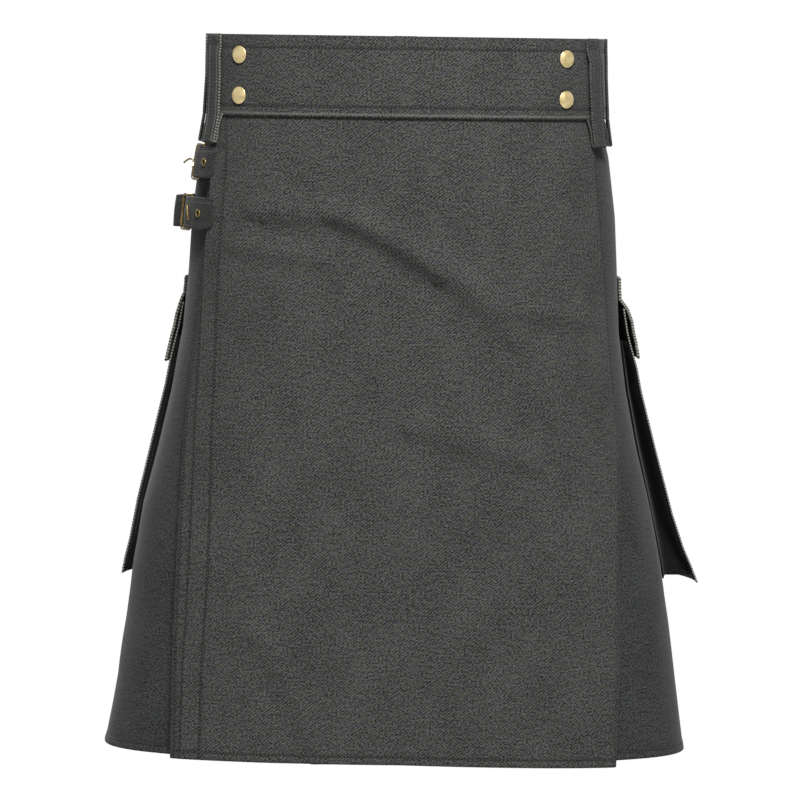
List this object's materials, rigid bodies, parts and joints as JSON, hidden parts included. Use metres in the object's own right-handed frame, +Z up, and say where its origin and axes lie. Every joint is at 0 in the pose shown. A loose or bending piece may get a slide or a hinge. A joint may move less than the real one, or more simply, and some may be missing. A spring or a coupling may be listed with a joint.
{
  "type": "utility kilt",
  "caption": "Wrapped utility kilt in dark denim, filled out as worn: flat front apron, pleated back, bellows pockets with flaps, snapped waistband and buckled hip straps.",
  "frame": {"origin": "centre of the waist, at half the waistband's height", "axes": "+Z up along the wearer's height, -Y out of the front apron, +X to the viewer's right seen from the front, which is the wearer's left"},
  "size_m": [0.5079, 0.3112, 0.6102],
  "materials": {
    "denim": "matte twill, heathered charcoal",
    "brass": "antique, satin"
  },
  "bodies": {
    "root": {"belt_loop_back": "denim", "belt_loop_front_left": "denim", "belt_loop_front_right": "denim", "belt_loop_side_left": "denim", "belt_loop_side_right": "denim", "buckle_tab_lower": "denim", "buckle_tab_upper": "denim", "over_apron": "denim", "pleated_back": "denim", "pocket_band_left": "denim", "pocket_band_right": "denim", "pocket_flap_left": "denim", "pocket_flap_right": "denim", "pocket_front_left": "denim", "pocket_front_right": "denim", "pocket_gusset_left": "denim", "pocket_gusset_right": "denim", "side_panel_left": "denim", "side_panel_right": "denim", "strap_lower": "denim", "strap_upper": "denim", "under_apron": "denim", "waistband_back": "denim", "waistband_front": "denim", "waistband_under": "denim", "buckle_lower": "brass", "buckle_prong_lower": "brass", "buckle_prong_upper": "brass", "buckle_upper": "brass", "eyelet_lower": "brass", "eyelet_upper": "brass", "snap_back_1": "brass", "snap_back_2": "brass", "snap_back_3": "brass", "snap_back_4": "brass", "snap_cap_1": "brass", "snap_cap_2": "brass", "snap_cap_3": "brass", "snap_cap_4": "brass"}
  },
  "joints": []
}
